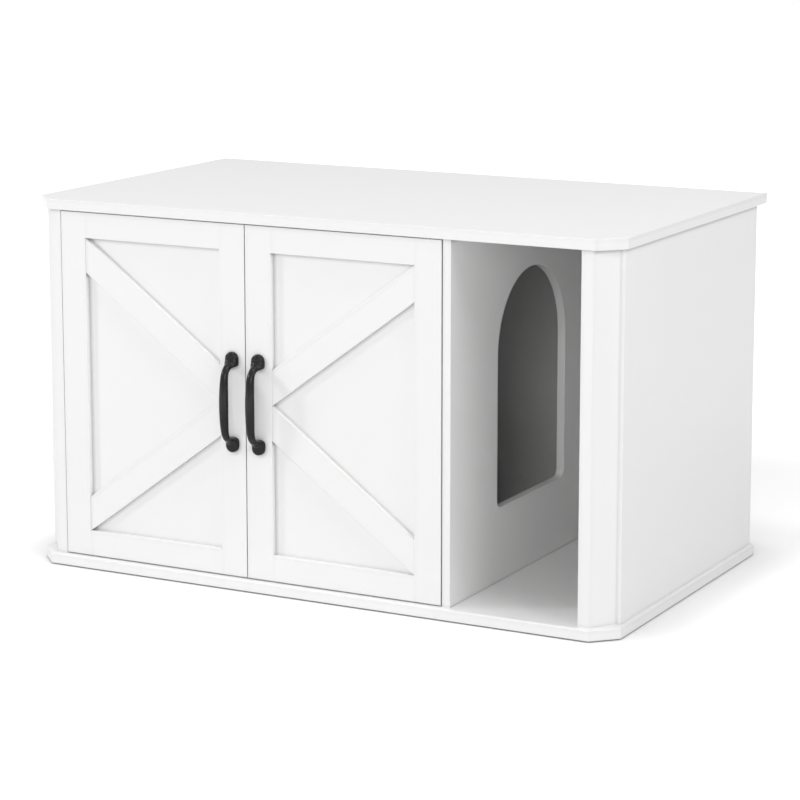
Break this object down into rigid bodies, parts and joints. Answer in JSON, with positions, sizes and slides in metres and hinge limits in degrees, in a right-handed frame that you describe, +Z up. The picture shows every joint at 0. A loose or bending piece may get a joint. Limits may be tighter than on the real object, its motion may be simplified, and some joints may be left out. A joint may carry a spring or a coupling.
{
  "type": "cat litter box cabinet",
  "caption": "White board cabinet that hides a cat litter tray behind framed doors, with an open entry bay and an arched way through its divider.",
  "frame": {"origin": "on the floor below the centre of the base panel's outline, on the centre foot glide", "axes": "+X from the door side to the entry side, +Y from front to back, +Z up"},
  "size_m": [0.9, 0.5555, 0.525],
  "materials": {
    "white_board": "satin white lacquer on board",
    "white_hardboard": "matt white face of thin hardboard",
    "door_paint": "satin white paint on framed doors",
    "black_iron": "satin black coated casting",
    "zinc_plated_steel": "bright zinc plate",
    "zinc_casting": "raw zinc die casting",
    "white_plastic": "moulded white plastic",
    "beech": "fluted beech dowel",
    "magnet": "dark sintered magnet"
  },
  "bodies": {
    "carcass": {"top_panel": "white_board", "base_panel": "white_board", "side_panel_left": "white_board", "side_panel_right": "white_board", "corner_post_left": "white_board", "corner_post_right": "white_board", "divider_panel": "white_board", "back_panel_left": "white_hardboard", "back_panel_right": "white_hardboard", "pivot_bushings": "white_plastic", "foot_glides": "white_plastic", "cam_lock_nuts": "zinc_casting", "cam_lock_bolts": "zinc_plated_steel", "wooden_dowels": "beech", "base_screws": "zinc_plated_steel", "back_panel_nails": "zinc_plated_steel", "catch_housing": "white_plastic", "catch_magnets": "magnet", "catch_screws": "zinc_plated_steel"},
    "door_left": {"door_left_hinge_stile": "door_paint", "door_left_meeting_stile": "door_paint", "door_left_top_rail": "door_paint", "door_left_bottom_rail": "door_paint", "door_left_centre_panel": "door_paint", "door_left_brace_upper": "door_paint", "door_left_brace_lower": "door_paint", "door_left_handle": "black_iron", "door_left_handle_screws": "zinc_plated_steel", "door_left_pivot_pins": "zinc_plated_steel", "door_left_strike_plate": "zinc_plated_steel", "door_left_strike_screw": "zinc_plated_steel"},
    "door_right": {"door_right_hinge_stile": "door_paint", "door_right_meeting_stile": "door_paint", "door_right_top_rail": "door_paint", "door_right_bottom_rail": "door_paint", "door_right_centre_panel": "door_paint", "door_right_brace_upper": "door_paint", "door_right_brace_lower": "door_paint", "door_right_handle": "black_iron", "door_right_handle_screws": "zinc_plated_steel", "door_right_pivot_pins": "zinc_plated_steel", "door_right_strike_plate": "zinc_plated_steel", "door_right_strike_screw": "zinc_plated_steel"}
  },
  "joints": [
    {"name": "left_door_hinge", "type": "hinge", "parent": "carcass", "child": "door_left", "pos_m": [-0.3748, -0.2412, 0.2635], "axis": [0, 0, -1], "range_deg": [0, 110]},
    {"name": "right_door_hinge", "type": "hinge", "parent": "carcass", "child": "door_right", "pos_m": [0.1778, -0.2412, 0.2635], "axis": [0, 0, 1], "range_deg": [0, 110]}
  ]
}
